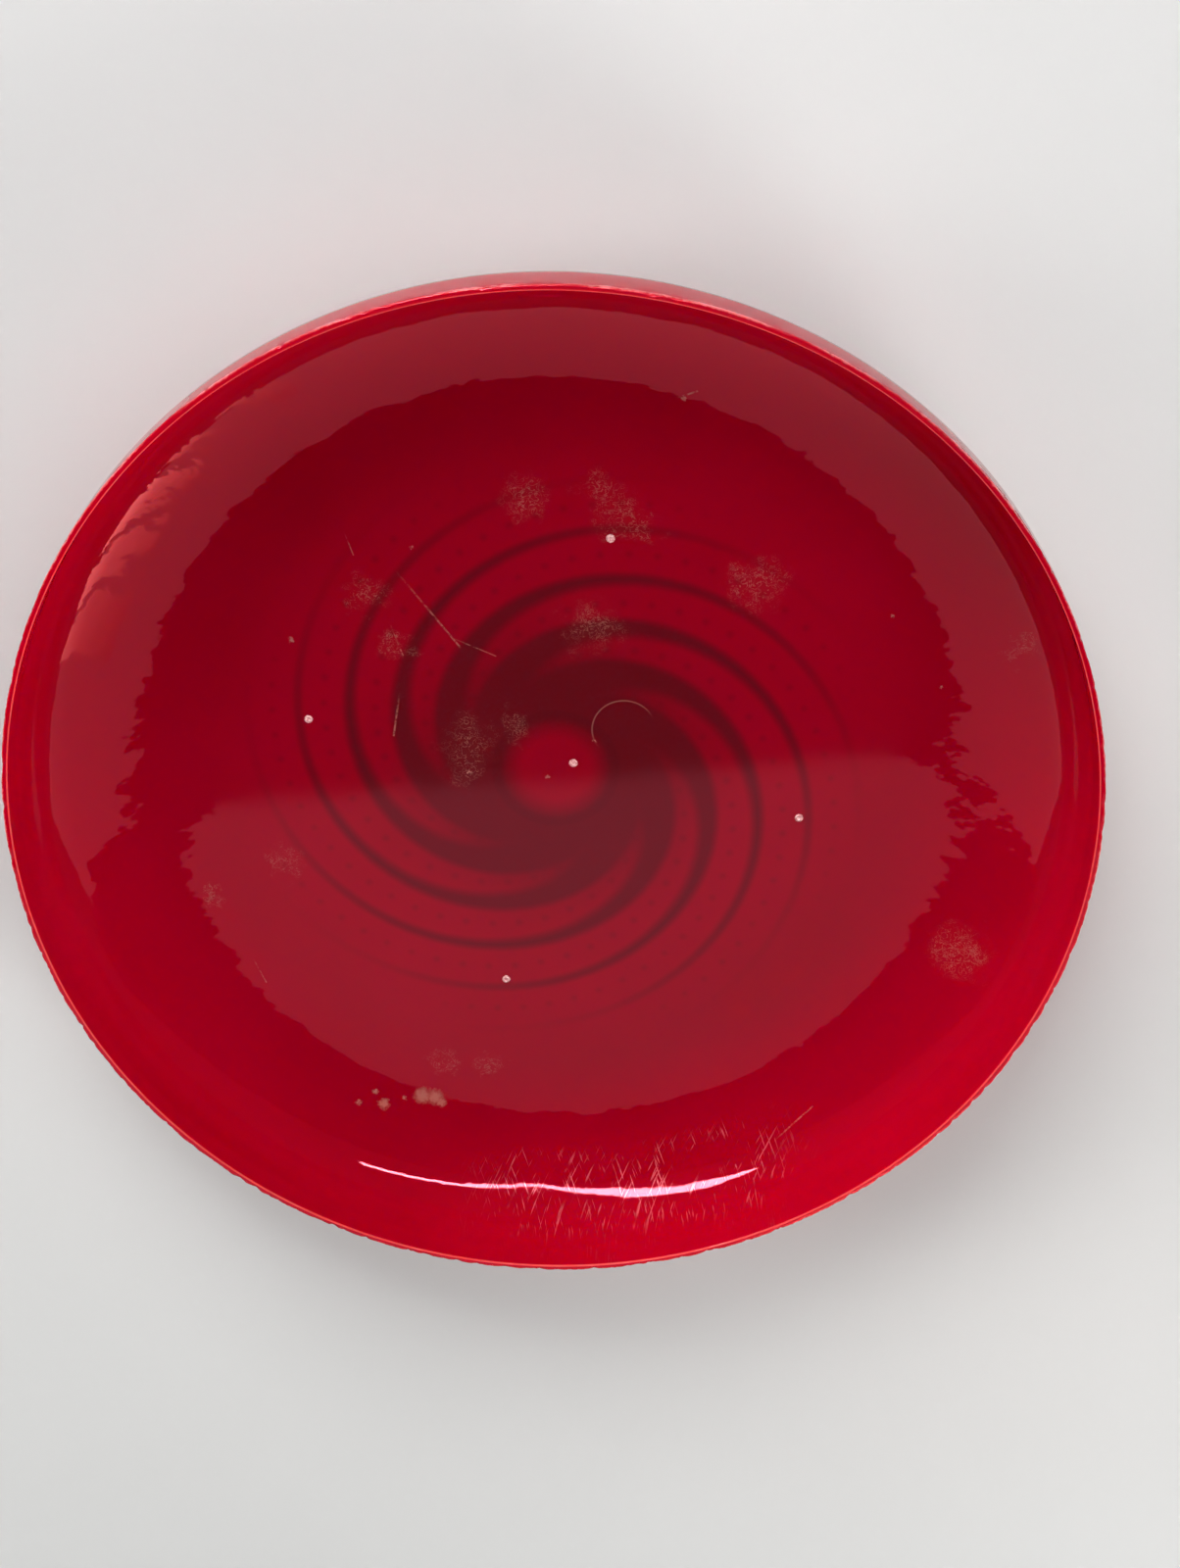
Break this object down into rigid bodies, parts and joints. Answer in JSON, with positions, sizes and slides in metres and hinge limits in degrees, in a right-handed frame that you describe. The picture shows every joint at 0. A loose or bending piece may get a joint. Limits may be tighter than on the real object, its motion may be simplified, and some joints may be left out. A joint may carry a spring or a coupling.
{
  "type": "flying disc",
  "caption": "Round thin-walled flying disc with a flat flight plate, a rounded shoulder, a straight rim and an open hollow side, with a foil print of spiral arms and dots.",
  "frame": {"origin": "middle of the flight plate's outer face, on the disc's axis, where the disc rests", "axes": "+Z along the disc's axis, out of its open side; +X and +Y lie in the flight plate"},
  "size_m": [0.24, 0.24, 0.031],
  "materials": {
    "shell_plastic": "translucent glossy red moulding",
    "print_foil": "worn dark stamping foil"
  },
  "bodies": {
    "root": {"disc_shell": "shell_plastic", "spiral_print": "print_foil", "dot_print": "print_foil"}
  },
  "joints": []
}
